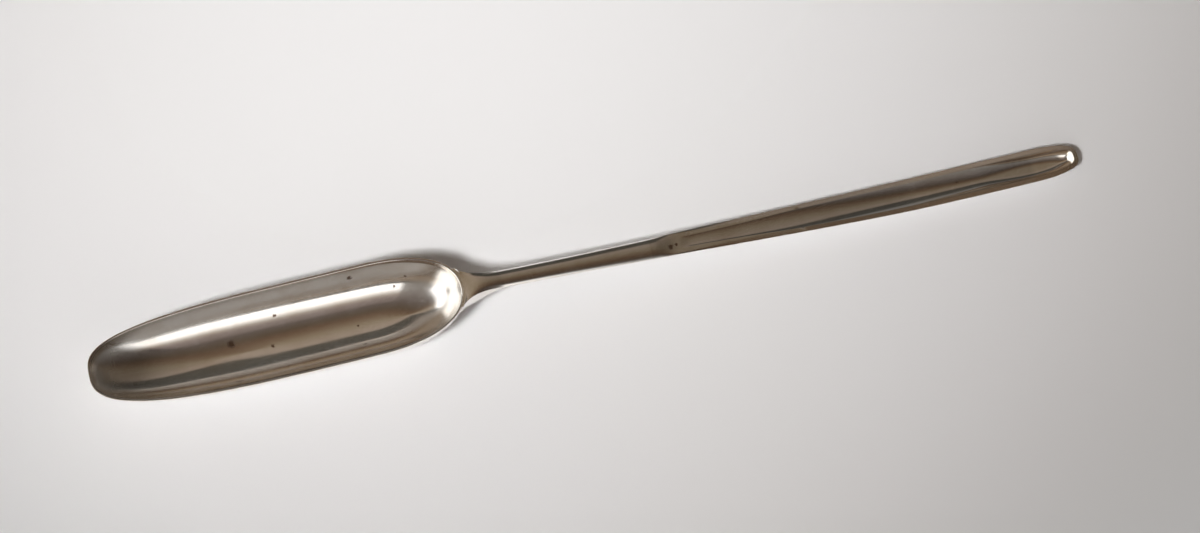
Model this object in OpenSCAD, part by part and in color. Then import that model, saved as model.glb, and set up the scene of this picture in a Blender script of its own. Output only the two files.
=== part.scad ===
// Double-ended marrow scoop: a long deep bowl, a slim shank and a narrow gutter-shaped scoop.
// Millimetres. +X runs from the large bowl to the small scoop, +Z is up, and the scoop lies on Z = 0.

/* [Overall] */
// Length over both ends
overall_length = 222; // [210:1:250]

/* [Large bowl] */
// Length of the bowl, from its tip to the end of its heel
bowl_length = 82; // [80:1:90]
// Width of the bowl over its rim
bowl_width = 21.2; // [17:0.2:26]
// Height of the rim above the table, where it is lowest
bowl_rim_height = 9.1; // [7.5:0.1:12]
// Thickness of the bowl's wall
bowl_wall = 0.85; // [0.6:0.05:1.4]
// Fall of the rim from its outer edge to its inner one
rim_fall = 0.35; // [0.1:0.05:0.6]
// Length of the tapering, rounded tip
tip_length = 50; // [42:1:55]
// Length over which the floor rises to the tip
tip_run = 36; // [22:1:36]
// Length of the rounded heel
heel_length = 21; // [17:1:24]
// Length over which the floor rises to the end of the heel
heel_run = 13; // [9:0.5:14]
// Rise of the rim from its lowest place to the tip
tip_lift = 0.6; // [0:0.1:1.5]
// Rise of the rim from its lowest place to the heel
heel_lift = 1.6; // [0.5:0.1:3]
// Distance of the rim's lowest place from the tip
rim_low_place = 24; // [15:1:35]
// Depth worn off the undersides where they rest
worn_depth = 0.12; // [0.05:0.01:0.3]

/* [Shank] */
// Length from the heel of the bowl to the upper edge of the scarf joint
shank_length = 42; // [36:1:48]
// Width of the shank where it is slimmest
shank_width = 3.9; // [3:0.1:4.6]
// Thickness of the shank
shank_thickness = 2.7; // [2.2:0.1:3.2]
// Height that the shank's top is crowned
shank_crown = 0.35; // [0.1:0.05:0.6]
// Length of the neck between the heel and the plain shank
neck_length = 9; // [7:0.5:13]
// Fall of the upper edges from the rim of the heel to the end of the neck
neck_drop = 0.5; // [0:0.1:1.2]
// Thickness of the shoulder's edge on the heel
shoulder_edge = 0.3; // [0.2:0.05:0.5]

/* [Small scoop] */
// Width of the small scoop over its rim
scoop_width = 7.7; // [6.4:0.1:9.6]
// Depth of the small scoop from its rim to its underside
scoop_depth = 3.1; // [2.8:0.1:4]
// Thickness of its rim
scoop_rim = 1; // [0.7:0.05:1.3]
// Thickness of its floor
scoop_floor = 1; // [0.8:0.05:1.4]
// Distance from its end to where it is widest
scoop_wide_place = 23; // [18:1:30]
// Distance from its end to where it rests
scoop_rest_place = 38; // [32:1:46]
// Length of its rounded end
scoop_end_length = 14; // [11:0.5:17]
// Length over which its floor rises to the end
scoop_end_run = 5; // [4:0.5:8]
// Rise of the rim from the resting place to the end
scoop_end_lift = 0.6; // [0:0.1:1.5]
// Distance from the scarf joint to the start of the channel
channel_start = 6; // [5.5:0.5:12]
// Depth of the channel's rounded start
channel_start_depth = 0.2; // [0.1:0.05:0.5]
// Length over which the channel opens to its full width
channel_opening = 28; // [18:1:40]
// Length over which the channel sinks to its full depth
channel_sinking = 82; // [66:1:90]

/* [Solder joints] */
// Thickness of the solder films
solder_film = 0.12; // [0.08:0.01:0.2]
// Length of the scarf joint along the shank
scarf_length = 5; // [3:0.5:5.5]

/* [Hidden] */
silver = [0.78, 0.76, 0.72];
solder = [0.70, 0.67, 0.60];

// Roundness of the outlines and sections: 2 is an ellipse, more is squarer
tip_squareness = 3;
heel_squareness = 2.3;
scoop_end_squareness = 3.1;
section_squareness = 2.05;

// Shape of the upper line of the handle: how it falls to the resting place and rises to the end
fall_power = 1.3;
rise_power = 2;
// Lift of the scoop's underside from the resting place to the start of its rounded end
end_lift_under = 0.5;
// Fall of the rims towards their outer edges
rim_slope = 0.12;
// Share of its full width at which the channel starts, and length over which its start sinks
channel_start_share = 0.5;
channel_start_run = 1.6;
// Shape of the channel's floor: 1 sinks evenly, more sinks later
sink_power = 2;
// Shape of the channel's section: 0.5 has upright sides, 1 is a flat arc
channel_flatness = 0.8;
// Length beside the scarf joint over which the sections turn from slanted to square, in lengths of the joint
scarf_fade = 2.2;

// Places along the length
x_tip = -overall_length / 2;
x_end = overall_length / 2;
x_heel = x_tip + bowl_length;
x_tip_shoulder = x_tip + tip_length;
x_heel_shoulder = x_heel - heel_length;
x_rim_low = x_tip + rim_low_place;
x_neck = x_heel + neck_length;
x_scarf = x_heel + shank_length;
x_channel = x_scarf + channel_start;
x_wide = x_end - scoop_wide_place;
x_rest = x_end - scoop_rest_place;
x_end_shoulder = x_end - scoop_end_length;

// Number of ribs and of steps in a section
tip_ribs = 18;
middle_ribs = 3;
heel_ribs = 30;
bowl_steps = 14;
seat_ribs = 8;
seat_steps = 6;
handle_steps = seat_ribs + seat_steps;
handle_outer = 2 * handle_steps + 1;
top_steps = seat_ribs - 1;
neck_rings = 9;
shank_rings = 10;
scarf_rings = 3;
start_rings = 4;
scoop_rings = 20;
end_ribs = 10;

// A rounded quarter: [1, 0] at angle 0 and [0, 1] at angle 90
function quarter(angle, squareness) =
    let (c = cos(angle), s = sin(angle), r = pow(pow(c, squareness) + pow(s, squareness), -1 / squareness))
    [c * r, s * r];

// Depth of the channel's rounded hollow at a share of its half-width
function hollow(share) = pow(1 - pow(min(1, share), 2), channel_flatness);

// A smooth step from 0 to 1
function ease(t) = let (u = min(1, max(0, t))) u * u * (3 - 2 * u);

function mix(a, b, t) = a + (b - a) * t;

// How far a rib of a rounded end runs along the keel: it follows the outline at the rim and is pointed at the bottom
function along_keel(angle, plan, reach) = mix(pow(cos(angle), 2), plan[0], reach);

// Large bowl: height of the rim
function bowl_rim_z(x) =
    let (to_tip = max(0, (x_rim_low - x) / rim_low_place))
    let (to_heel = max(0, (x - x_rim_low) / (x_heel - x_rim_low)))
    bowl_rim_height + tip_lift * pow(to_tip, 2) + heel_lift * pow(to_heel, 2);

// Ribs of the bowl from the tip to the heel: [end, angle] in the rounded ends, [0, share] between them
bowl_ribs = concat(
    [for (i = [0:tip_ribs]) [-1, 90 * i / tip_ribs]],
    [for (i = [1:middle_ribs - 1]) [0, i / middle_ribs]],
    [for (i = [heel_ribs:-1:0]) [1, 90 * i / heel_ribs]]
);

// A point of the bowl on a rib. The fall angle goes from 0 at the rim to 90 at the bottom, side is -1 or 1, and
// grow moves the surface out of the metal: 0 is the outside, and minus the wall's thickness is the inside.
function bowl_point(rib, fall, side, grow) =
    let (section = quarter(fall, section_squareness), reach = section[0], depth = section[1])
    let (end = rib[0], plan = quarter(end == 0 ? 90 : rib[1], end < 0 ? tip_squareness : heel_squareness))
    let (along = along_keel(rib[1], plan, reach))
    let (x = end < 0 ? x_tip_shoulder - (tip_length - tip_run) * along - (tip_run + grow) * plan[0] * reach
           : end > 0 ? x_heel_shoulder + (heel_length - heel_run) * along + (heel_run + grow) * plan[0] * reach
           : mix(x_tip_shoulder, x_heel_shoulder, rib[1]))
    let (y = side * (bowl_width / 2 + grow) * plan[1] * reach)
    let (rim = bowl_rim_z(x) - (grow < 0 ? rim_fall : 0), z = rim - (rim + worn_depth + grow) * depth)
    [x, y, grow < 0 ? z : max(z, -grow)];

// One rib of the bowl from the near rim under the bottom to the far rim
function bowl_rib(rib, grow) = [
    for (k = [0:2 * bowl_steps])
        bowl_point(rib, 90 * min(k, 2 * bowl_steps - k) / bowl_steps, sign(k - bowl_steps), grow)
];

function reversed(list) = [for (i = [len(list) - 1:-1:0]) list[i]];

// Handle: height of the upper edges, half-width and thickness along the shank and the small scoop
neck_z = bowl_rim_height + heel_lift - neck_drop;
function handle_top(x) =
    x < x_rest
        ? scoop_depth + (neck_z - scoop_depth) * pow((x_rest - x) / (x_rest - x_neck), fall_power)
        : scoop_depth + scoop_end_lift * pow((x - x_rest) / scoop_rest_place, rise_power);
function handle_half_width(x) = mix(shank_width, scoop_width, ease((x - x_neck) / (x_wide - x_neck))) / 2;
function handle_thickness(x) =
    x < x_rest
        ? mix(shank_thickness, scoop_depth, ease((x - x_scarf) / (x_rest - x_scarf)))
        : handle_top(x) - end_lift_under * pow((x - x_rest) / scoop_rest_place, 2);
function handle_wear(x) = worn_depth * ease((x - x_scarf) / (x_rest - x_scarf));

// Width of the rim, crown of the top and depth and opening of the channel along the handle
function rim_width(x) = mix(rim_slope, scoop_rim, ease((x - x_scarf) / channel_opening));
function crown(x) = shank_crown * (1 - ease((x - x_scarf) / channel_start));
function channel_depth(x) =
    let (sunk = pow(min(1, max(0, (x - x_channel) / channel_sinking)), sink_power))
    channel_start_depth * ease((x - x_channel) / channel_start_run)
        + (handle_thickness(x) - scoop_floor - channel_start_depth) * sunk;
function channel_share(x) = mix(channel_start_share, 1, ease((x - x_channel) / channel_opening));

// Plan of the handle's section: square across before the rounded end, which turns from angle 90 to 0
function end_plan(turn) = quarter(turn, scoop_end_squareness);
function end_x(x, turn, reach, inset) =
    let (plan = end_plan(turn), run = scoop_end_run - inset)
    x + (scoop_end_length - scoop_end_run) * along_keel(turn, plan, reach) + run * plan[0] * reach;

// A point of the handle's underside. Lean slants the section along the shank with its depth.
function under_point(x, turn, fall, side, lean) =
    let (section = quarter(fall, section_squareness), plan = end_plan(turn))
    let (px = end_x(x, turn, section[0], 0) + lean * section[1])
    let (py = side * handle_half_width(px) * plan[1] * section[0])
    let (depth = handle_thickness(px) + handle_wear(px) - rim_slope)
    let (pz = handle_top(px) - rim_slope - depth * section[1])
    [px, py, max(0, pz)];

// A point of the handle's top, across from the far side (share 1) to the near side (share -1)
function top_point(x, turn, share) =
    let (plan = end_plan(turn), px = end_x(x, turn, abs(share), rim_width(x_end)))
    let (half = handle_half_width(px) - rim_width(px), py = half * plan[1] * share)
    let (sunk = channel_depth(px) * hollow(abs(share) / channel_share(px)))
    [px, py, handle_top(px) + crown(px) * (1 - share * share) - sunk];

// A ring around the handle: the underside from near to far, then the top from far to near
function handle_ring(x, turn = 90, lean = 0) = concat(
    [for (k = [0:handle_outer - 1])
        let (fall = 90 * min(k, handle_outer - 1 - k) / handle_steps)
        under_point(x, turn, fall, sign(k - handle_steps), lean)],
    [for (k = [-top_steps:top_steps]) top_point(x, turn, sin(-90 * k / top_steps))]
);

// Seat of the shoulder on the heel: a patch of the bowl's outside, across and down from the rim
bowl_last = len(bowl_ribs) - 1;
function seat_point(across, down, grow) =
    bowl_point(bowl_ribs[bowl_last - abs(across)], 90 * down / bowl_steps, sign(across), grow);

// Border of the seat, in the order of a ring around the handle
seat_path = concat(
    [for (down = [0:seat_steps]) [-seat_ribs, down]],
    [for (across = [1 - seat_ribs:seat_ribs]) [across, seat_steps]],
    [for (down = [seat_steps - 1:-1:0]) [seat_ribs, down]],
    [for (across = [seat_ribs - 1:-1:1 - seat_ribs]) [across, 0]]
);
function seat_border(grow) = [for (p = seat_path) seat_point(p[0], p[1], grow)];
// Place of a border point of the seat in that order
function border_place(across, down) =
    across == -seat_ribs ? down
        : down == seat_steps ? seat_steps + across + seat_ribs
        : across == seat_ribs ? 2 * handle_steps - down
        : handle_outer + seat_ribs - 1 - across;
function on_border(across, down) = abs(across) == seat_ribs || down == 0 || down == seat_steps;

// Neck: a smooth sweep from the shoulder's edge on the heel to the plain shank. Its start turns along the shank,
// inwards and upwards, less so towards the lower corners of the seat, and its top swells behind the rim.
neck_along = 0.7;
neck_inward = 1.9;
neck_upward = 0.75;
neck_lead = 5;
corner_ease = [0.65, 0.5];
shoulder_rise = 3;
function neck_leave(p, from, to) =
    let (side = abs(p[0]) / seat_ribs, low = p[1] / seat_steps)
    [
        neck_along * (to[0] - from[0]),
        -neck_inward * (1 - corner_ease[0] * low) * from[1],
        neck_upward * (1 - corner_ease[1] * side * low) * (neck_z - from[2]) + shoulder_rise * (1 - low)
    ];
function sweep_point(from, leave, to, arrive, t) =
    let (t2 = t * t, t3 = t2 * t)
    (2 * t3 - 3 * t2 + 1) * from + (t3 - 2 * t2 + t) * leave + (3 * t2 - 2 * t3) * to + (t3 - t2) * arrive;
neck_start = seat_border(solder_film + shoulder_edge);
neck_end = handle_ring(x_neck);
neck_onward = (handle_ring(x_neck + 1) - neck_end) * neck_lead;
function neck_ring(t) = [
    for (k = [0:len(neck_start) - 1])
        let (leave = neck_leave(seat_path[k], neck_start[k], neck_end[k]))
        sweep_point(neck_start[k], leave, neck_end[k], neck_onward[k], t)
];

// Rings of the three lofted pieces
bowl_loft = [for (rib = bowl_ribs) concat(bowl_rib(rib, 0), reversed(bowl_rib(rib, -bowl_wall)))];
x_scoop = x_scarf + solder_film;
x_sunk = x_channel + channel_start_run;
function scarf_lean(distance) = max(0, scarf_length - distance / scarf_fade);
shank_loft = concat(
    [seat_border(solder_film)],
    [for (i = [0:neck_rings]) neck_ring(i / neck_rings)],
    [for (i = [1:shank_rings])
        let (x = mix(x_neck, x_scarf, i / shank_rings))
        handle_ring(x, lean = scarf_lean(x_scarf - x))]
);
scoop_places = concat(
    [for (i = [0:scarf_rings - 1]) mix(x_scoop, x_channel, i / scarf_rings)],
    [for (i = [0:start_rings - 1]) mix(x_channel, x_sunk, i / start_rings)],
    [for (i = [0:scoop_rings]) mix(x_sunk, x_end_shoulder, i / scoop_rings)]
);
scoop_loft = concat(
    [for (x = scoop_places) handle_ring(x, lean = scarf_lean(x - x_scoop))],
    [for (i = [end_ribs - 1:-1:0]) handle_ring(x_end_shoulder, turn = 90 * i / end_ribs)]
);
solder_loft = [handle_ring(x_scarf, lean = scarf_length), handle_ring(x_scoop, lean = scarf_length)];

// Index of a ring's point. In a folded ring the near and the far side lie on each other and share their points.
function ring_index(ring, k, size, outer, folded) =
    ring * size + (!folded ? k : k < outer ? min(k, outer - 1 - k) : outer + min(k - outer, size - 1 - k));

// Sides of a loft through rings. The outer count is the number of points on the rings' undersides.
function loft_sides(rings, outer, fold_first, fold_last) =
    let (size = len(rings[0]), last = len(rings) - 1)
    [for (i = [0:last - 1], k = [0:size - 1])
        let (next = (k + 1) % size, fold_a = fold_first && i == 0, fold_b = fold_last && i + 1 == last)
        let (a = ring_index(i, k, size, outer, fold_a), b = ring_index(i, next, size, outer, fold_a))
        let (c = ring_index(i + 1, next, size, outer, fold_b), d = ring_index(i + 1, k, size, outer, fold_b))
        let (from_keel = k < outer ? k >= (outer - 1) / 2 : k >= (outer + size - 1) / 2)
        let (turned = fold_first && i < last / 2 ? !from_keel : from_keel)
        each turned ? [[a, d, b], [b, d, c]] : [[a, c, b], [a, d, c]]];

// A cap across a ring, in strips from one side to the other. Forward caps close the last ring.
function loft_cap(ring, size, outer, forward) =
    let (near = concat([for (k = [floor(outer / 2):-1:0]) k], [for (k = [size - 1:-1:(size + outer - 1) / 2]) k]))
    let (far = [for (k = near) k < outer ? outer - 1 - k : size - 1 - (k - outer)])
    let (faces = [for (i = [0:len(near) - 2])
        each [[near[i], near[i + 1], far[i + 1]], [near[i], far[i + 1], far[i]]]])
    [for (face = faces)
        let (f = [for (k = face) ring * size + k])
        if (f[0] != f[1] && f[1] != f[2] && f[2] != f[0]) forward ? f : reversed(f)];

function flat(lists) = [for (list = lists) each list];

// Faces of a seat patch whose points are named by place(across, down), seen from the bowl
function seat_faces(place) = [
    for (across = [-seat_ribs:seat_ribs - 1], down = [0:seat_steps - 1])
        let (a = place(across, down), b = place(across + 1, down))
        let (c = place(across + 1, down + 1), d = place(across, down + 1))
        each across < 0 ? [[a, c, b], [a, d, c]] : [[a, d, b], [b, d, c]]
];

module large_bowl() {
    color(silver)
        polyhedron(flat(bowl_loft), loft_sides(bowl_loft, 2 * bowl_steps + 1, true, true), convexity = 6);
}

module shank() {
    ring_count = len(shank_loft);
    size = len(shank_loft[0]);
    inner = [
        for (down = [1:seat_steps - 1], across = [1 - seat_ribs:seat_ribs - 1])
            seat_point(across, down, solder_film)
    ];
    place = function (across, down)
        on_border(across, down)
            ? border_place(across, down)
            : ring_count * size + (down - 1) * (2 * seat_ribs - 1) + across + seat_ribs - 1;
    faces = concat(
        loft_sides(shank_loft, handle_outer, false, false),
        loft_cap(ring_count - 1, size, handle_outer, true),
        seat_faces(place)
    );
    color(silver)
        polyhedron(concat(flat(shank_loft), inner), faces, convexity = 6);
}

module small_scoop() {
    size = len(scoop_loft[0]);
    faces = concat(
        loft_sides(scoop_loft, handle_outer, false, true),
        loft_cap(0, size, handle_outer, false)
    );
    color(silver)
        polyhedron(flat(scoop_loft), faces, convexity = 6);
}

module bowl_solder() {
    rows = 2 * seat_ribs + 1;
    count = rows * (seat_steps + 1);
    points = [
        for (grow = [0, solder_film], down = [0:seat_steps], across = [-seat_ribs:seat_ribs])
            seat_point(across, down, grow)
    ];
    on_bowl = function (across, down) down * rows + across + seat_ribs;
    on_shank = function (across, down) count + on_bowl(across, down);
    edge = [
        for (i = [0:len(seat_path) - 1])
            let (p = seat_path[i], q = seat_path[(i + 1) % len(seat_path)])
            let (a = on_bowl(p[0], p[1]), b = on_bowl(q[0], q[1]))
            each [[a, b + count, b], [a, a + count, b + count]]
    ];
    faces = concat(seat_faces(on_bowl), [for (face = seat_faces(on_shank)) reversed(face)], edge);
    color(solder)
        polyhedron(points, faces, convexity = 4);
}

module scoop_solder() {
    size = len(solder_loft[0]);
    faces = concat(
        loft_sides(solder_loft, handle_outer, false, false),
        loft_cap(0, size, handle_outer, false),
        loft_cap(1, size, handle_outer, true)
    );
    color(solder)
        polyhedron(flat(solder_loft), faces, convexity = 4);
}

large_bowl();
shank();
small_scoop();
bowl_solder();
scoop_solder();
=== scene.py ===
import math

import bmesh
import bpy
import numpy as np
from mathutils import Matrix, Vector


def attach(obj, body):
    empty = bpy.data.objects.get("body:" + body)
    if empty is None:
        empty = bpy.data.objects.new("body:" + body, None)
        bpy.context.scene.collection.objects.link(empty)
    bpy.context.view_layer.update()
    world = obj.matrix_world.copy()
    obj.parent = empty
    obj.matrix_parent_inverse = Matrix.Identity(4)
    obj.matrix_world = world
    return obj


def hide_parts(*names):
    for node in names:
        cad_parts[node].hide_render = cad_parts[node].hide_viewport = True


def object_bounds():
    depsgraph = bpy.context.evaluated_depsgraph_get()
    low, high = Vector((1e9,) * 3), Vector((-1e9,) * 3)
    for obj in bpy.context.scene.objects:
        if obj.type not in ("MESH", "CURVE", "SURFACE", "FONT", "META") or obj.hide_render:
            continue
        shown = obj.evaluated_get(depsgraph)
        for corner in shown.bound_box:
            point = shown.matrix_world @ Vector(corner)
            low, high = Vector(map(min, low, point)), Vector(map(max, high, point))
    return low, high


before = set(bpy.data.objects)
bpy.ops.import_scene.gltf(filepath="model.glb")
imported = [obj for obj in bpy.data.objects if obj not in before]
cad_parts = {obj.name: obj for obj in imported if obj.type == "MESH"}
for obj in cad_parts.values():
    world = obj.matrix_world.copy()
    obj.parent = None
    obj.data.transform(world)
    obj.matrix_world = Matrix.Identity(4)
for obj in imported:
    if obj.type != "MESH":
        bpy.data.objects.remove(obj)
cad_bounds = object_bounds()

# Sizes as in the CAD, in millimetres. First the stations along the length.
X_TIP = -111.0
X_TIP_SHOULDER = -61.0
X_HEEL_SHOULDER = -50.0
X_HEEL = -29.0
X_NECK = -20.0
X_SCARF = 13.0
X_SCOOP = 13.12
X_CHANNEL = 19.0
X_REST = 73.0
X_WIDE = 88.0
X_END_SHOULDER = 97.0
X_END = 111.0

# The large bowl: half-width, height of the rim, lengths and forms of its ends, and its wall.
BOWL_HALF = 10.6
RIM_LOW = 9.1
X_RIM_LOW = -87.0
TIP_LIFT = 0.6
HEEL_LIFT = 1.6
TIP_LENGTH = X_TIP_SHOULDER - X_TIP
TIP_RUN = 36.0
TIP_SQUARE = 3.0
HEEL_LENGTH = X_HEEL - X_HEEL_SHOULDER
HEEL_RUN = 13.0
HEEL_SQUARE = 2.3
SECTION = 2.05
WALL = 0.85
WORN = 0.12

# The shank, with its shoulder and the film of solder.
SHANK_WIDTH = 3.9
SHANK_THICK = 2.7
SHANK_CROWN = 0.35
NECK_DROP = 0.5
NECK_Z = RIM_LOW + HEEL_LIFT - NECK_DROP
SHOULDER_EDGE = 0.3
FILM = 0.12
SCARF = 5.0
SCARF_FADE = 2.2

# The small scoop and its channel.
SCOOP_WIDTH = 7.7
SCOOP_DEPTH = 3.1
SCOOP_RIM = 1.0
SCOOP_FLOOR = 1.0
END_LENGTH = X_END - X_END_SHOULDER
END_RUN = 5.0
END_SQUARE = 3.1
END_LIFT = 0.6
END_LIFT_UNDER = 0.5
FALL_POWER = 1.3
RISE_POWER = 2.0
RIM_SLOPE = 0.12
OPENING = 28.0
SINKING = 82.0
CHANNEL_FLATNESS = 0.8

# Sizes that only the looks have: the bowl's thinner rim and the slight waves of its hammered inside.
RIM_WALL = 0.45
RIM_FALL = 0.16
RIM_EDGE = 0.02
RIM_POWER = 1.6
WALL_RUN = 25
WAVE_HEIGHT = 0.006
WAVES = ((0.21, 0.0, 1.3), (0.37, 0.31, 0.4))

# The shank's softened edges, the channel's shallow start, its tighter corner at the end, and the seams.
EDGE_RUN = 0.5
EDGE_FALL = 0.17
START_DEPTH = 0.08
START_RUN = 3.0
START_SHARE = 0.5
START_ROUND = 1.1
LEAST_ROUND = 0.02
LEAST_OPENING = 0.01
CHANNEL_CORNER = 2.0
END_CORNER = 4.0
CORNER_RUN = 13.0
SEAM_DEPTH = 0.1
SOLDER_SHRINK = 0.008

# How the neck leaves the shoulder, ahead, inwards and upwards, and how it arrives at the shank.
NECK_AHEAD = 0.7
NECK_INWARD = 1.9
NECK_INWARD_LOW = 0.65
NECK_RISE = 0.75
NECK_RISE_LOW = 0.5
NECK_BULGE = 3
NECK_ARRIVAL = 5

# Counts of points, ribs and rings.
COLUMN_STEPS = 44
COLUMN_CROWDING = 0.85
RIM_STEPS = 12
TIP_RIBS = 73
MIDDLE_RIBS = 15
HEEL_RIBS = 91
UNDER_STEPS = 56
UNDER_POINTS = 2 * UNDER_STEPS + 1
TOP_STEPS = 31
LAND_POINTS = 9
HOLLOW_POINTS = 29
WIDEST_HOLLOW = 0.97
NECK_RINGS = 41
SHANK_RINGS = 61
SCARF_RINGS = 12
START_RINGS = 25
CHANNEL_RINGS = 130
END_RINGS = 49

# The seat of the shoulder on the bowl's heel: ribs to each side, steps downwards, and its reach in degrees.
SEAT_RIBS = 32
SEAT_STEPS = 24
SEAT_ANGLE = 24.0
SEAT_FALL = 90 * 6 / 14
SEAT_PATH = (
    [(-SEAT_RIBS, d) for d in range(SEAT_STEPS + 1)]
    + [(a, SEAT_STEPS) for a in range(1 - SEAT_RIBS, SEAT_RIBS + 1)]
    + [(SEAT_RIBS, d) for d in range(SEAT_STEPS - 1, -1, -1)]
    + [(a, 0) for a in range(SEAT_RIBS - 1, -SEAT_RIBS, -1)]
)

# Cleaning of the meshes, in metres and degrees.
METRES = 0.001
MERGE_GAP = 2e-7
LEAST_EDGE = 1e-7
SHARP_ANGLE = 40


def quarter(angle, power):
    """A rounded quarter: (1, 0) at 0 degrees and (0, 1) at 90."""
    c = np.clip(np.cos(np.radians(angle)), 0, 1)
    s = np.clip(np.sin(np.radians(angle)), 0, 1)
    r = (c**power + s**power) ** (-1 / power)
    return c * r, s * r


def ease(t):
    t = np.clip(t, 0, 1)
    return t * t * (3 - 2 * t)


def mix(a, b, t):
    return a + (b - a) * t


def hollow(share, power):
    """Depth of the channel at a share of its half-width, from 1 in the middle to 0 at its edge."""
    return (1 - np.minimum(1, share) ** power) ** CHANNEL_FLATNESS


# Large bowl


def bowl_rim_z(x):
    to_tip = np.maximum(0, (X_RIM_LOW - x) / (X_RIM_LOW - X_TIP))
    to_heel = np.maximum(0, (x - X_RIM_LOW) / (X_HEEL - X_RIM_LOW))
    return RIM_LOW + TIP_LIFT * to_tip**2 + HEEL_LIFT * to_heel**2


def bowl_point(rib, fall, grow):
    """Points of the bowl's far half on a rib, from the rim (fall 0) to the keel (90).

    A rib is (-1, angle) at the tip, (0, share) in the middle or (1, angle) at the heel.
    """
    end, turn = rib
    reach, depth = quarter(fall, SECTION)
    if end == 0:
        across = 1.0
        x = mix(X_TIP_SHOULDER, X_HEEL_SHOULDER, turn) + 0 * reach
    else:
        forward, across = quarter(turn, TIP_SQUARE if end < 0 else HEEL_SQUARE)
        along = mix(np.cos(np.radians(turn)) ** 2, forward, reach)
        if end < 0:
            keel, run = TIP_LENGTH - TIP_RUN, TIP_RUN + grow
            x = X_TIP_SHOULDER - keel * along - run * forward * reach
        else:
            keel, run = HEEL_LENGTH - HEEL_RUN, HEEL_RUN + grow
            x = X_HEEL_SHOULDER + keel * along + run * forward * reach
    y = (BOWL_HALF + grow) * across * reach
    rim = bowl_rim_z(x)
    z = rim - (rim + WORN + grow) * depth
    if np.all(np.asarray(grow) >= 0):
        z = np.maximum(z, -grow)
    return np.stack(np.broadcast_arrays(x, y, z), -1)


def bowl_column(rib):
    """One rib of the bowl: up the outside from the keel, over the sloping rim and down the inside."""
    falls = 90 * (1 - np.linspace(0, 1, COLUMN_STEPS) ** COLUMN_CROWDING)
    outside = bowl_point(rib, falls, 0.0)
    outside[-1, 2] -= RIM_EDGE
    across, down = quarter(np.linspace(90, 0, RIM_STEPS + 1), RIM_POWER)
    inset = mix(RIM_EDGE, RIM_WALL, across)
    rim = bowl_point(rib, np.zeros(RIM_STEPS + 1), -inset)
    rim[:, 2] -= RIM_FALL * (1 - down)
    sunk = np.degrees(np.arcsin(np.clip(RIM_FALL / rim[-1, 2], 0, 1)))
    inner_falls = sunk + (90 - sunk) * (1 - falls / 90)
    wall = mix(RIM_WALL, WALL, ease((inner_falls - sunk) / WALL_RUN))
    inside = bowl_point(rib, inner_falls, -wall)
    waves = sum(np.sin(a * inside[:, 0] + b * inside[:, 1] + c) for a, b, c in WAVES)
    inside[:, 2] += WAVE_HEIGHT * np.sin(np.radians(2 * falls)) ** 2 * waves
    return np.concatenate([outside, rim, inside[1:]])


def bowl_mesh():
    tip = [(-1, a) for a in np.linspace(0, 90, TIP_RIBS)]
    middle = [(0, s) for s in np.linspace(0, 1, MIDDLE_RIBS)[1:-1]]
    heel = [(1, a) for a in np.linspace(90, 0, HEEL_RIBS)]
    columns = [bowl_column(rib) for rib in tip + middle + heel]
    near = [c * (1, -1, 1) for c in columns]
    loop = near + columns[-2:0:-1]
    return loft(loop, closed=True, caps=False, ring=False)


# Shank and small scoop


def handle_top(x):
    to_neck = np.maximum(0, (X_REST - x) / (X_REST - X_NECK))
    to_end = np.maximum(0, (x - X_REST) / (X_END - X_REST))
    fall = SCOOP_DEPTH + (NECK_Z - SCOOP_DEPTH) * to_neck**FALL_POWER
    return fall + END_LIFT * to_end**RISE_POWER


def handle_half(x):
    return mix(SHANK_WIDTH, SCOOP_WIDTH, ease((x - X_NECK) / (X_WIDE - X_NECK))) / 2


def handle_thick(x):
    before = mix(SHANK_THICK, SCOOP_DEPTH, ease((x - X_SCARF) / (X_REST - X_SCARF)))
    after = handle_top(x) - END_LIFT_UNDER * ((x - X_REST) / (X_END - X_REST)) ** 2
    return np.where(x < X_REST, before, after)


def rim_width(x):
    return mix(RIM_SLOPE, SCOOP_RIM, ease((x - X_SCARF) / OPENING))


def channel_depth(x):
    full = handle_thick(x) - SCOOP_FLOOR - START_DEPTH
    deep = full * np.clip((x - X_CHANNEL) / SINKING, 0, 1) ** 2
    return START_DEPTH * ease((x - X_CHANNEL) / START_RUN) + deep


def channel_share(x):
    return mix(START_SHARE, 1, ease((x - X_CHANNEL) / OPENING))


def to_channel(x):
    """0 on the shank and 1 from the channel's start."""
    return ease((x - X_SCARF) / (X_CHANNEL - X_SCARF))


def edge_fall(x):
    """How far the softened edge of the shank falls beside its crown."""
    return EDGE_FALL * (1 - to_channel(x))


def end_x(x, turn, reach, inset):
    forward, _ = quarter(turn, END_SQUARE)
    along = mix(np.cos(np.radians(turn)) ** 2, forward, reach)
    return x + (END_LENGTH - END_RUN) * along + (END_RUN - inset) * forward * reach


def under_points(x, turn, fall, side, lean):
    reach, depth = quarter(fall, SECTION)
    px = end_x(x, turn, reach, 0) + lean * depth
    py = side * handle_half(px) * quarter(turn, END_SQUARE)[1] * reach
    wear = WORN * ease((px - X_SCARF) / (X_REST - X_SCARF))
    start = RIM_SLOPE + edge_fall(px)
    pz = handle_top(px) - start - (handle_thick(px) + wear - start) * depth
    return np.stack([px, py, np.maximum(0, pz)], -1)


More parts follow.
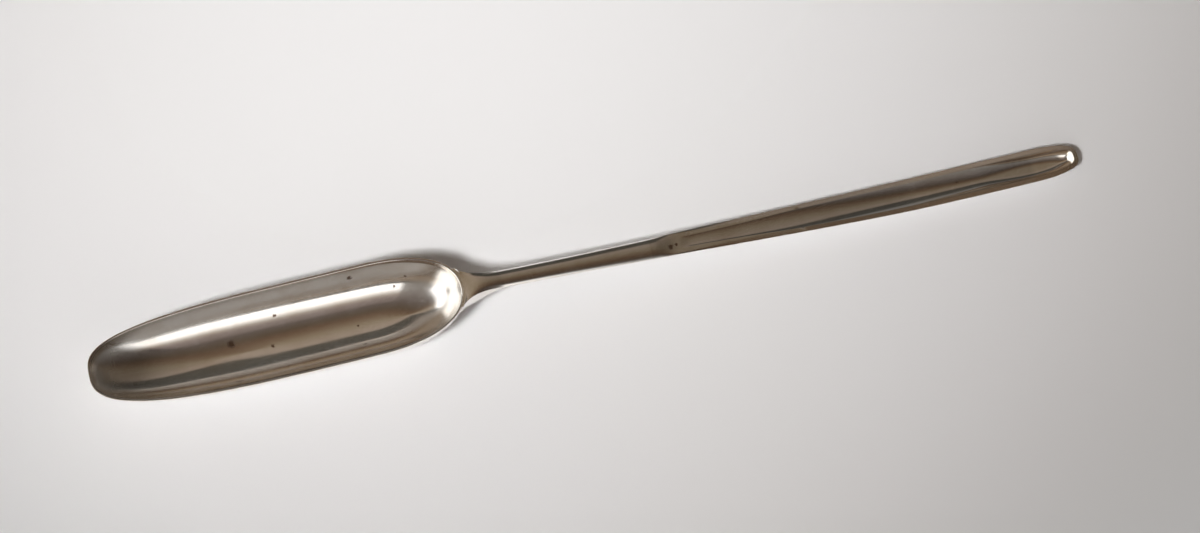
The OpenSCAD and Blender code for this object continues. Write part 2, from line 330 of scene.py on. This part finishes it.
def top_points(x, turn, share):
    px = end_x(x, turn, np.abs(share), SCOOP_RIM)
    py = (handle_half(px) - rim_width(px)) * quarter(turn, END_SQUARE)[1] * share
    from_start = np.clip((px - X_CHANNEL) / START_ROUND, 0, 1)
    rounded = np.sqrt(np.clip(1 - (1 - from_start) ** 2, 0, 1))
    opening = np.maximum(channel_share(px) * np.maximum(rounded, LEAST_ROUND), LEAST_OPENING)
    corner = mix(CHANNEL_CORNER, END_CORNER, ease((px - X_WIDE) / CORNER_RUN))
    sunk = channel_depth(px) * hollow(np.abs(share) / opening, corner)
    crown = SHANK_CROWN * (1 - to_channel(px))
    near_edge = np.clip(1 - (1 - np.abs(share)) * handle_half(px) / EDGE_RUN, 0, 1)
    softened = edge_fall(px) * near_edge**2
    return np.stack([px, py, handle_top(px) + crown * (1 - share**2) - softened - sunk], -1)


def handle_under(x, turn=90.0, lean=0.0):
    k = np.arange(UNDER_POINTS)
    fall = 90 * np.minimum(k, 2 * UNDER_STEPS - k) / UNDER_STEPS
    return under_points(x, turn, fall, np.sign(k - UNDER_STEPS), lean)


def shank_ring(x, lean=0.0):
    share = np.sin(np.radians(-90 * np.arange(-TOP_STEPS, TOP_STEPS + 1) / TOP_STEPS))
    return np.concatenate([handle_under(x, lean=lean), top_points(x, 90.0, share)])


def scoop_ring(x, turn=90.0, lean=0.0):
    """A ring of the small scoop, whose points on top keep to the channel's edges."""
    edge = min(WIDEST_HOLLOW, float(channel_share(x)))
    land = 1 - (1 - edge) * np.linspace(0, 1, LAND_POINTS) ** 2
    inner = edge * quarter(np.linspace(0, 90, HOLLOW_POINTS), SECTION)[0]
    half = np.concatenate([land, inner[1:]])
    share = np.concatenate([half, -half[-2::-1]])
    return np.concatenate([handle_under(x, turn, lean), top_points(x, turn, share)])


def seat_point(across, down, grow):
    rib = (1, SEAT_ANGLE * abs(across) / SEAT_RIBS)
    point = bowl_point(rib, SEAT_FALL * down / SEAT_STEPS, grow)
    return point * (1, math.copysign(1, across), 1)


def seat_border(grow, sink=0.0):
    """The seat's border. Sink lowers its upper line, for the seam between the rim and the shoulder."""
    border = np.array([seat_point(a, d, grow) for a, d in SEAT_PATH])
    border[:, 2] -= [sink if d == 0 else 0 for _, d in SEAT_PATH]
    return border


def neck_rings(count):
    """Rings from the shoulder's border to the shank, along smooth curves."""
    start = seat_border(FILM + SHOULDER_EDGE)
    end = shank_ring(X_NECK)
    arrive = (shank_ring(X_NECK + 1) - end) * NECK_ARRIVAL
    side = np.array([abs(a) / SEAT_RIBS for a, _ in SEAT_PATH])
    low = np.array([d / SEAT_STEPS for _, d in SEAT_PATH])
    ahead = NECK_AHEAD * (end[:, 0] - start[:, 0])
    inward = -NECK_INWARD * (1 - NECK_INWARD_LOW * low) * start[:, 1]
    rise = NECK_RISE * (1 - NECK_RISE_LOW * side * low) * (NECK_Z - start[:, 2])
    leave = np.stack([ahead, inward, rise + NECK_BULGE * (1 - low)], -1)
    rings = []
    for t in np.linspace(0, 1, count):
        a, b = 2 * t**3 - 3 * t**2 + 1, t**3 - 2 * t**2 + t
        c, d = 3 * t**2 - 2 * t**3, t**3 - t**2
        rings.append(a * start + b * leave + c * end + d * arrive)
    return rings


def scarf_lean(distance):
    return max(0.0, SCARF - distance / SCARF_FADE)


# Meshes


def loft(rings, closed=False, caps=True, ring=True):
    """Vertices and faces of a skin through rings or columns of points.

    Caps close the first and the last ring in strips from side to side.
    """
    size, count = len(rings[0]), len(rings)
    verts = np.concatenate(rings)
    faces = []
    for i in range(count if closed else count - 1):
        j = (i + 1) % count
        for k in range(size if ring else size - 1):
            n = (k + 1) % size
            faces.append((i * size + k, j * size + k, j * size + n, i * size + n))
    if caps:
        under = UNDER_POINTS
        near = list(range(under // 2, -1, -1))
        near += list(range(size - 1, (size + under) // 2 - 1, -1))
        far = [under - 1 - k if k < under else size - 1 - (k - under) for k in near]
        strips = [(near[i], near[i + 1], far[i + 1], far[i]) for i in range(len(near) - 1)]
        faces += [tuple(reversed(f)) for f in strips]
        faces += [tuple((count - 1) * size + k for k in f) for f in strips]
    return verts, faces


def shank_mesh():
    edge = mix(seat_border(FILM), seat_border(FILM + SHOULDER_EDGE), 0.5)
    places = np.linspace(X_NECK, X_SCARF, SHANK_RINGS)[1:]
    rings = [seat_border(FILM), edge] + neck_rings(NECK_RINGS)
    rings += [shank_ring(x, scarf_lean(X_SCARF - x)) for x in places]
    verts, faces = loft(rings)
    # The seat is closed by a patch that follows the heel, so the first cap's strips are left out.
    size = len(rings[0])
    faces = [f for f in faces if not all(k < size for k in f)]
    extra, patch = seat_patch(FILM, len(verts), {p: i for i, p in enumerate(SEAT_PATH)})
    return np.concatenate([verts, extra]), faces + patch


def seat_patch(grow, first, border):
    """Inner points and faces of the seat, joined to the border's points."""
    index = dict(border)
    extra = []
    for d in range(1, SEAT_STEPS):
        for a in range(1 - SEAT_RIBS, SEAT_RIBS):
            index[(a, d)] = first + len(extra)
            extra.append(seat_point(a, d, grow))
    faces = []
    for d in range(SEAT_STEPS):
        for a in range(-SEAT_RIBS, SEAT_RIBS):
            corners = ((a, d), (a, d + 1), (a + 1, d + 1), (a + 1, d))
            faces.append(tuple(index[corner] for corner in corners))
    return np.array(extra), faces


def scoop_mesh():
    x_sunk = X_CHANNEL + START_RUN
    places = np.concatenate(
        [
            np.linspace(X_SCOOP, X_CHANNEL, SCARF_RINGS)[:-1],
            np.linspace(X_CHANNEL, x_sunk, START_RINGS)[:-1],
            np.linspace(x_sunk, X_END_SHOULDER, CHANNEL_RINGS),
        ]
    )
    rings = [scoop_ring(x, lean=scarf_lean(x - X_SCOOP)) for x in places]
    rings += [scoop_ring(X_END_SHOULDER, turn) for turn in np.linspace(90, 0, END_RINGS)[1:]]
    verts, faces = loft(rings)
    # The last ring is flat on itself, so it needs no cap.
    last = (len(rings) - 1) * len(rings[0])
    return verts, [f for f in faces if not all(k >= last for k in f)]


def bowl_solder_mesh():
    lower, upper = seat_border(0.0, SEAM_DEPTH), seat_border(FILM, SEAM_DEPTH)
    count = len(SEAT_PATH)
    faces = [(i, (i + 1) % count, count + (i + 1) % count, count + i) for i in range(count)]
    verts = np.concatenate([lower, upper])
    for grow, first in ((0.0, 0), (FILM, count)):
        border = {p: first + i for i, p in enumerate(SEAT_PATH)}
        extra, patch = seat_patch(grow, len(verts), border)
        verts = np.concatenate([verts, extra])
        faces += patch if grow == 0.0 else [tuple(reversed(f)) for f in patch]
    return verts, faces


def scoop_solder_mesh():
    rings = [shank_ring(X_SCARF, SCARF), shank_ring(X_SCOOP, SCARF)]
    shrink = (0.0, SOLDER_SHRINK, SOLDER_SHRINK)
    return loft([mix(ring, ring.mean(0), shrink) for ring in rings])


def piece(name, shape, material, smooth=True):
    """A mesh in the place of a CAD node, kept inside the CAD's box."""
    verts, faces = shape
    low, high = np.array(cad_bounds[0]), np.array(cad_bounds[1])
    verts = np.clip(verts * METRES, low, high)
    mesh = bpy.data.meshes.new(name)
    mesh.from_pydata(verts.tolist(), [], faces)
    obj = bpy.data.objects.new(name, mesh)
    bpy.context.collection.objects.link(obj)
    skin = bmesh.new()
    skin.from_mesh(mesh)
    bmesh.ops.remove_doubles(skin, verts=skin.verts, dist=MERGE_GAP)
    bmesh.ops.dissolve_degenerate(skin, edges=skin.edges, dist=LEAST_EDGE)
    bmesh.ops.recalc_face_normals(skin, faces=skin.faces)
    skin.to_mesh(mesh)
    skin.free()
    if smooth:
        mesh.shade_smooth()
        mesh.set_sharp_from_angle(angle=math.radians(SHARP_ANGLE))
    mesh.materials.append(material)
    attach(obj, "root")
    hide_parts(name.replace("_visual", ""))
    return obj


# Materials

CLEAN_SILVER = (0.93, 0.905, 0.87, 1)
STAINED_SILVER = (0.82, 0.765, 0.70, 1)
PIT_BROWN = (0.30, 0.22, 0.17, 1)
LIGHT_SOLDER = (0.62, 0.57, 0.50, 1)
DARK_SOLDER = (0.48, 0.43, 0.37, 1)
FLOOR = (0.83, 0.83, 0.84, 1)
FLOOR_BEYOND = (0.47, 0.465, 0.46, 1)
BUMP_DISTANCE = 0.00004

# Extra roughness where use has dulled the bowl: on its far wall below the rim, at its tip and in its heel.
RUBBED_WALL = 0.5
RUBBED_TIP = 0.26
RUBBED_HEEL = 0.13

# Beyond the lamps' pool of light, the camera and the metal see the floor in one pale tone. In metres.
POOL_CENTRE = (0.0, 0.075, 0.0)
POOL_EDGE = 0.14
POOL_END = 0.25

# Pits and stains left in the metal: place in millimetres, and radius.
PITS = [
    ((-80.6, 2.5, 1.2), 0.85),
    ((-70.1, 6.3, 2.6), 0.32),
    ((-71.9, 0.1, 0.7), 0.4),
    ((-52.4, 9.3, 6.7), 0.55),
    ((-52.9, 0.1, 0.7), 0.3),
    ((-40.5, 7.4, 5.0), 0.3),
    ((-43.3, 6.4, 3.2), 0.25),
    ((17.3, -0.6, 6.8), 0.55),
    ((18.7, -0.3, 6.6), 0.35),
    ((83.5, 0.8, 1.9), 0.25),
]


def new_material(name):
    material = bpy.data.materials.new(name)
    material.use_nodes = True
    tree = material.node_tree
    return material, tree, tree.nodes["Principled BSDF"]


def connect(tree, socket, value):
    """Links an output to a socket, or sets a plain value on it."""
    if hasattr(value, "is_output"):
        tree.links.new(value, socket)
    else:
        socket.default_value = value


def node(tree, kind, inputs=None, **settings):
    made = tree.nodes.new(kind)
    for key, value in settings.items():
        setattr(made, key, value)
    for key, value in (inputs or {}).items():
        connect(tree, made.inputs[key], value)
    return made


def object_place(tree):
    return node(tree, "ShaderNodeTexCoord").outputs["Object"]


def in_millimetres(tree, scale=(1, 1, 1), turn=(0, 0, 0)):
    """Object coordinates in millimetres, stretched and turned for a texture."""
    factor = tuple(1000 * s for s in scale)
    inputs = {"Vector": object_place(tree), "Scale": factor, "Rotation": turn}
    return node(tree, "ShaderNodeMapping", inputs).outputs[0]


def noise(tree, vector, scale, detail=4.0, rough=0.55):
    inputs = {"Vector": vector, "Scale": scale, "Detail": detail, "Roughness": rough}
    return node(tree, "ShaderNodeTexNoise", inputs).outputs["Fac"]


def remap(tree, value, low, high, to_low=0.0, to_high=1.0, curve="LINEAR"):
    inputs = {"Value": value, "From Min": low, "From Max": high, "To Min": to_low, "To Max": to_high}
    made = node(tree, "ShaderNodeMapRange", inputs, clamp=True, interpolation_type=curve)
    return made.outputs["Result"]


def math_node(tree, operation, a, b):
    return node(tree, "ShaderNodeMath", {0: a, 1: b}, operation=operation).outputs[0]


def distance(tree, a, b):
    return node(tree, "ShaderNodeVectorMath", {0: a, 1: b}, operation="DISTANCE").outputs["Value"]


def tint(tree, factor, a, b):
    """A colour between a and b. The sockets of the mix node for colours are 0, 6 and 7."""
    made = node(tree, "ShaderNodeMix", data_type="RGBA")
    for slot, value in ((0, factor), (6, a), (7, b)):
        connect(tree, made.inputs[slot], value)
    return made.outputs[2]


def bumped(tree, shader, height, strength):
    inputs = {"Height": height, "Strength": strength, "Distance": BUMP_DISTANCE}
    tree.links.new(node(tree, "ShaderNodeBump", inputs).outputs[0], shader.inputs["Normal"])


def pits(tree):
    """1 inside the pits and 0 around them, with ragged borders."""
    place = in_millimetres(tree)
    ragged = remap(tree, noise(tree, place, scale=2.2), 0.3, 0.7, -0.25, 0.25)
    total = None
    for centre, radius in PITS:
        gap = math_node(tree, "ADD", distance(tree, place, centre), ragged)
        spot = remap(tree, gap, radius * 0.55, radius * 1.2, 1.0, 0.0)
        total = spot if total is None else math_node(tree, "MAXIMUM", total, spot)
    return total


def scratches(tree, turn, scale):
    """Thin, broken lines in one direction."""
    lines = noise(tree, in_millimetres(tree, (0.06, 1, 0.4), turn), scale, detail=2.0, rough=0.5)
    off_line = math_node(tree, "ABSOLUTE", math_node(tree, "SUBTRACT", lines, 0.5), 0.0)
    thin = remap(tree, off_line, 0.0, 0.012, 1.0, 0.0)
    broken = remap(tree, noise(tree, in_millimetres(tree), scale=0.16), 0.48, 0.62)
    return math_node(tree, "MULTIPLY", thin, broken)


def rubbed(tree, place):
    """The extra roughness of the dulled zones, which end below the rim."""
    split = node(tree, "ShaderNodeSeparateXYZ", {0: place})
    x, y, z = (split.outputs[axis] for axis in "XYZ")
    high = remap(tree, z, 3.6, 6.2, 0.0, RUBBED_WALL)
    wall = math_node(tree, "MULTIPLY", remap(tree, y, 5.5, 8.0), high)
    tip = remap(tree, x, -110.0, -98.0, RUBBED_TIP, 0.0)
    before_shank = remap(tree, x, -30.2, -29.6, RUBBED_HEEL, 0.0)
    heel = math_node(tree, "MULTIPLY", remap(tree, x, -43.0, -37.0), before_shank)
    below_rim = remap(tree, z, 8.7, 9.0, 1.0, 0.0)
    total = math_node(tree, "MAXIMUM", math_node(tree, "MAXIMUM", wall, tip), heel)
    return math_node(tree, "MULTIPLY", total, below_rim)


def silver_material():
    material, tree, shader = new_material("silver")
    place = in_millimetres(tree)
    stain = remap(tree, noise(tree, place, scale=0.11, detail=5.0, rough=0.6), 0.42, 0.74)
    pit = pits(tree)
    lines = scratches(tree, (0, 0, 0.35), 3.0)
    crossing = math_node(tree, "MAXIMUM", lines, scratches(tree, (0, 0, -0.9), 2.2))
    along = noise(tree, in_millimetres(tree, (0.02, 1, 1)), scale=3.2, detail=3.0, rough=0.6)

    clean = tint(tree, stain, CLEAN_SILVER, STAINED_SILVER)
    tree.links.new(tint(tree, pit, clean, PIT_BROWN), shader.inputs["Base Color"])
    shader.inputs["Metallic"].default_value = 1.0

    clouds = noise(tree, place, scale=0.35, rough=0.6)
    specks = noise(tree, place, scale=30.0, detail=2.0, rough=0.5)
    rough = remap(tree, clouds, 0.3, 0.75, 0.06, 0.12)
    for more in (
        remap(tree, specks, 0.6, 0.66, 0.0, 0.25),
        math_node(tree, "MULTIPLY", crossing, 0.12),
        rubbed(tree, place),
        math_node(tree, "MULTIPLY", pit, 0.25),
    ):
        rough = math_node(tree, "ADD", rough, more)
    tree.links.new(rough, shader.inputs["Roughness"])

    height = math_node(tree, "MULTIPLY", along, 0.12)
    height = math_node(tree, "SUBTRACT", height, math_node(tree, "MULTIPLY", crossing, 0.2))
    height = math_node(tree, "SUBTRACT", height, math_node(tree, "MULTIPLY", pit, 0.5))
    bumped(tree, shader, height, 0.25)
    return material


def solder_material():
    material, tree, shader = new_material("solder")
    grain = noise(tree, in_millimetres(tree), scale=1.6, rough=0.6)
    colour = tint(tree, remap(tree, grain, 0.35, 0.65), LIGHT_SOLDER, DARK_SOLDER)
    tree.links.new(colour, shader.inputs["Base Color"])
    shader.inputs["Metallic"].default_value = 1.0
    tree.links.new(remap(tree, grain, 0.3, 0.7, 0.18, 0.3), shader.inputs["Roughness"])
    bumped(tree, shader, grain, 0.3)
    return material


def floor_material():
    material, tree, shader = new_material("floor")
    shader.inputs["Base Color"].default_value = FLOOR
    shader.inputs["Roughness"].default_value = 0.85
    shader.inputs["Specular IOR Level"].default_value = 0.2
    reach = distance(tree, object_place(tree), POOL_CENTRE)
    beyond = remap(tree, reach, POOL_EDGE, POOL_END, curve="SMOOTHSTEP")
    path = node(tree, "ShaderNodeLightPath").outputs
    seen = math_node(tree, "MAXIMUM", path["Is Camera Ray"], path["Is Glossy Ray"])
    seen = math_node(tree, "MAXIMUM", seen, path["Is Transmission Ray"])
    share = math_node(tree, "MULTIPLY", seen, beyond)
    glow = node(tree, "ShaderNodeEmission", {"Color": FLOOR_BEYOND, "Strength": 1.0})
    both = node(tree, "ShaderNodeMixShader", {0: share, 1: shader.outputs[0], 2: glow.outputs[0]})
    tree.links.new(both.outputs[0], tree.nodes["Material Output"].inputs["Surface"])
    return material


silver = silver_material()
solder = solder_material()
piece("large_bowl_visual", bowl_mesh(), silver)
piece("shank_visual", shank_mesh(), silver)
piece("small_scoop_visual", scoop_mesh(), silver)
piece("bowl_solder_visual", bowl_solder_mesh(), solder, smooth=False)
piece("scoop_solder_visual", scoop_solder_mesh(), solder, smooth=False)

# Floor, with sizes in metres from here on.

FLOOR_HALF = 3


def flat_piece(name, corners, material):
    mesh = bpy.data.meshes.new(name)
    mesh.from_pydata(corners, [], [(0, 1, 2, 3)])
    mesh.materials.append(material)
    obj = bpy.data.objects.new(name, mesh)
    bpy.context.collection.objects.link(obj)
    return obj


floor_signs = ((-1, -1), (1, -1), (1, 1), (-1, 1))
floor_corners = [(x * FLOOR_HALF, y * FLOOR_HALF, 0) for x, y in floor_signs]
floor = flat_piece("floor", floor_corners, floor_material())

# Light: a window at the left that the silver mirrors, a key lamp for the floor and its shadows,
# a tall soft card on the camera's side, and a dim room.


def lamp(name, place, aim, size, radiance, colour, spread=180, glossy=True, diffuse=True):
    """A soft rectangular lamp of a given radiance, out of the camera's sight."""
    data = bpy.data.lights.new(name, "AREA")
    data.shape = "RECTANGLE"
    data.size, data.size_y = size
    data.color = colour
    data.energy = radiance * math.pi * size[0] * size[1]
    data.spread = math.radians(spread)
    obj = bpy.data.objects.new(name, data)
    bpy.context.collection.objects.link(obj)
    place, aim = Vector(place), Vector(aim)
    back = (place - aim).normalized()
    side = Vector((1, 0, 0)) if abs(back.x) < 0.7 else Vector((0, 1, 0))
    up = back.cross(side).normalized()
    side = up.cross(back)
    turn = Matrix((side, up, back)).transposed().to_4x4()
    obj.matrix_world = Matrix.Translation(place) @ turn
    obj.visible_camera = False
    obj.visible_glossy = glossy
    obj.visible_diffuse = diffuse
    return obj


lamp(
        "window",
        place=(-0.72, -0.04, 0.24),
        aim=(-0.05, 0, 0.0),
        size=(1.0, 0.48),
        radiance=1.6,
        colour=(0.96, 0.985, 1.0),
        diffuse=False,
    )
lamp(
        "key",
        place=(-0.63, -0.48, 1.2),
        aim=(-0.01, 0.10, 0.0),
        size=(0.26, 0.26),
        radiance=1.9,
        colour=(1.0, 1.0, 1.0),
        spread=21,
        glossy=False,
    )

# The card: its edges, where its glow starts to fade to the right, the glow, and its colours by height.
CARD_LEFT = -0.16
CARD_RIGHT = 0.095
CARD_FADE = 0.025
CARD_NEAR = -0.35
CARD_TOP = 0.87
CARD_GLOW = 1.4
CARD_GLOW_RIGHT = 0.1
CARD_COLOURS = [
    (0.0, (0.80, 0.79, 0.78)),
    (0.13, (1.0, 0.99, 0.98)),
    (0.27, (0.90, 0.88, 0.86)),
    (0.31, (0.70, 0.66, 0.62)),
    (0.35, (0.50, 0.46, 0.415)),
    (0.417, (0.285, 0.245, 0.21)),
    (0.519, (0.19, 0.155, 0.14)),
    (0.69, (0.157, 0.127, 0.115)),
    (CARD_TOP, (0.11, 0.088, 0.077)),
]

# The room's colours at angles from the zenith, near side to far side, and its strength to the right.
ROOM_COLOURS = [
    (-90, (0.30, 0.28, 0.26)),
    (-75, (0.26, 0.24, 0.215)),
    (-40, (0.20, 0.172, 0.155)),
    (-22, (0.13, 0.105, 0.092)),
    (-9, (0.105, 0.078, 0.055)),
    (0, (0.137, 0.088, 0.058)),
    (9, (0.19, 0.135, 0.09)),
    (18, (0.26, 0.207, 0.145)),
    (33, (0.33, 0.263, 0.21)),
    (37, (0.29, 0.235, 0.19)),
    (39, (0.09, 0.08, 0.066)),
    (60, (0.085, 0.08, 0.07)),
    (70, (0.22, 0.205, 0.185)),
    (90, (0.30, 0.29, 0.28)),
]
ROOM_RIGHT = 0.4


def colour_ramp(tree, value, stops):
    """Colours at the given places of a value, from the first stop to the last."""
    low, high = stops[0][0], stops[-1][0]
    ramp = node(tree, "ShaderNodeValToRGB", {0: remap(tree, value, low, high)})
    while len(ramp.color_ramp.elements) < len(stops):
        ramp.color_ramp.elements.new(0.5)
    for element, (place, colour) in zip(ramp.color_ramp.elements, stops):
        element.position = (place - low) / (high - low)
        element.color = (*colour, 1)
    return ramp.outputs[0]


def front_card():
    """A tall source on the camera's side, white at the bottom, fading upwards and to the right."""
    material, tree, _ = new_material("front_card")
    split = node(tree, "ShaderNodeSeparateXYZ", {0: object_place(tree)}).outputs
    colour = colour_ramp(tree, split["Z"], CARD_COLOURS)
    strength = remap(tree, split["X"], CARD_FADE, CARD_RIGHT, CARD_GLOW, CARD_GLOW_RIGHT)
    glow = node(tree, "ShaderNodeEmission", {"Color": colour, "Strength": strength})
    tree.links.new(glow.outputs[0], tree.nodes["Material Output"].inputs["Surface"])
    bottom = [(CARD_LEFT, CARD_NEAR, 0), (CARD_RIGHT, CARD_NEAR, 0)]
    top = [(CARD_RIGHT, CARD_NEAR, CARD_TOP), (CARD_LEFT, CARD_NEAR, CARD_TOP)]
    card = flat_piece("front_card", bottom + top, material)
    card.visible_camera = False
    card.visible_shadow = False
    return card


front_card()


def room():
    """A dim, warm room: a colour for each angle from the zenith, darker to the right."""
    world = bpy.data.worlds.new("room")
    world.use_nodes = True
    tree = world.node_tree
    toward = node(tree, "ShaderNodeTexCoord").outputs["Generated"]
    split = node(tree, "ShaderNodeSeparateXYZ", {0: toward}).outputs
    angle = math_node(tree, "ARCTAN2", split["Y"], split["Z"])
    degrees = math_node(tree, "DEGREES", angle, 0.0)
    background = tree.nodes["Background"].inputs
    tree.links.new(colour_ramp(tree, degrees, ROOM_COLOURS), background["Color"])
    tree.links.new(remap(tree, split["X"], 0.03, 0.4, 1.0, ROOM_RIGHT), background["Strength"])
    return world


scene = bpy.context.scene
scene.world = room()
scene.view_settings.view_transform = "Standard"

# Camera: level, 70 degrees above the table, a little to the left of the middle.
CAMERA_AZIMUTH = math.radians(13.88)
CAMERA_HEIGHT = math.radians(70)
CAMERA_DISTANCE = 0.6
CAMERA_TARGET = (0.00182, 0.00113, 0)
SENSOR_WIDTH = 36.0
FOCAL_PIXELS = 2720.2
IMAGE_WIDTH = 1200

level = math.cos(CAMERA_HEIGHT)
sideways, forwards = math.sin(CAMERA_AZIMUTH), math.cos(CAMERA_AZIMUTH)
ahead = Vector((sideways * level, forwards * level, -math.sin(CAMERA_HEIGHT)))
right = Vector((forwards, -sideways, 0))
upward = right.cross(ahead)
camera_data = bpy.data.cameras.new("camera")
camera_data.sensor_fit = "HORIZONTAL"
camera_data.sensor_width = SENSOR_WIDTH
camera_data.lens = SENSOR_WIDTH * FOCAL_PIXELS / IMAGE_WIDTH
camera_data.clip_start = 0.01
camera = bpy.data.objects.new("camera", camera_data)
bpy.context.collection.objects.link(camera)
turn = Matrix((right, upward, -ahead)).transposed().to_4x4()
camera.matrix_world = Matrix.Translation(Vector(CAMERA_TARGET) - CAMERA_DISTANCE * ahead) @ turn
scene.camera = camera
